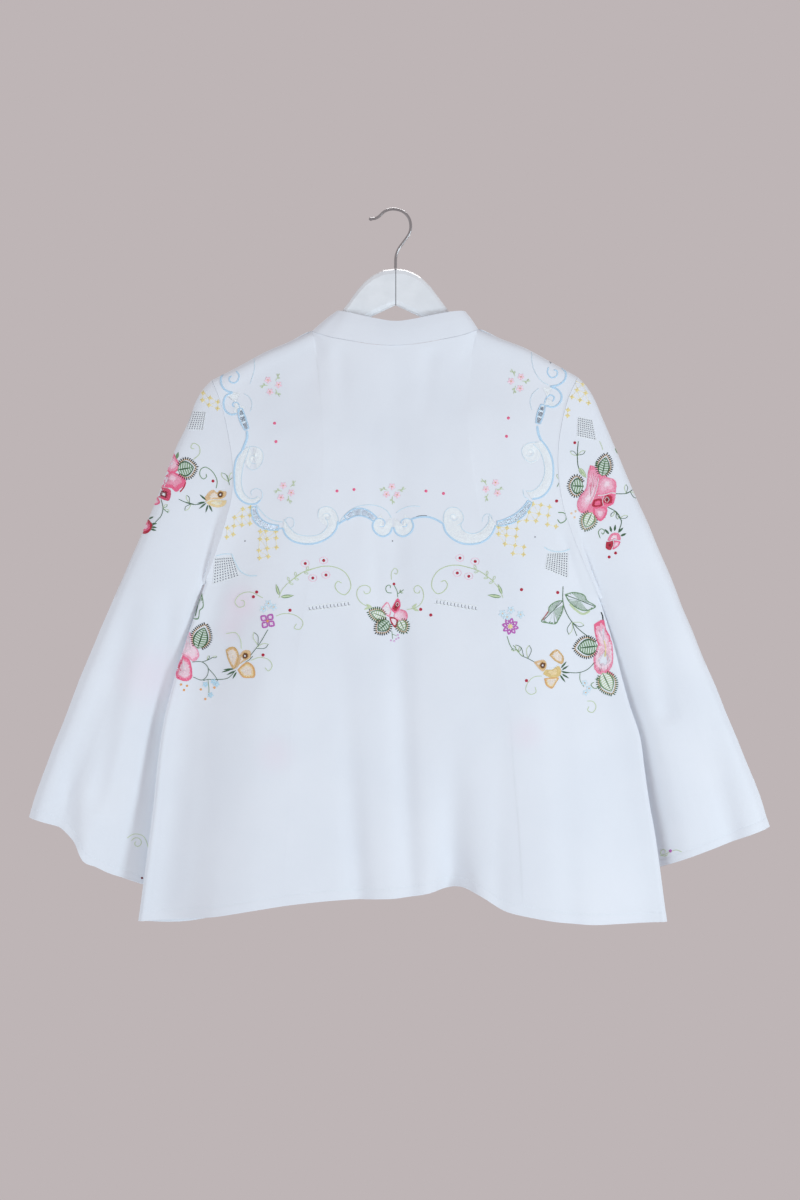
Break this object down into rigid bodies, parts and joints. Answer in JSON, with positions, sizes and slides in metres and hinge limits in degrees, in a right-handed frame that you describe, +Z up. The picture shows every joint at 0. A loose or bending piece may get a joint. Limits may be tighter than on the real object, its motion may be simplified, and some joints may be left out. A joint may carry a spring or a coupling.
{
  "type": "tablecloth jacket on a hanger",
  "caption": "Loose cotton jacket with a stand collar, open front and bell sleeves, cut from an embroidered tablecloth, hanging on a wooden hanger.",
  "frame": {"origin": "inside of the crest of the hanger's hook, where a rail carries it", "axes": "+Z up, +X to the right of the garment seen from behind, and the garment's back faces -Y"},
  "size_m": [0.8942, 0.097, 0.858],
  "materials": {
    "cotton": "plain woven white cotton, matte",
    "painted_wood": "white paint, satin",
    "chrome": "bright plated wire"
  },
  "bodies": {
    "root": {"back": "cotton", "front_left": "cotton", "front_right": "cotton", "sleeve_left": "cotton", "sleeve_right": "cotton", "collar": "cotton", "hanger": "painted_wood", "hook": "chrome"}
  },
  "joints": []
}
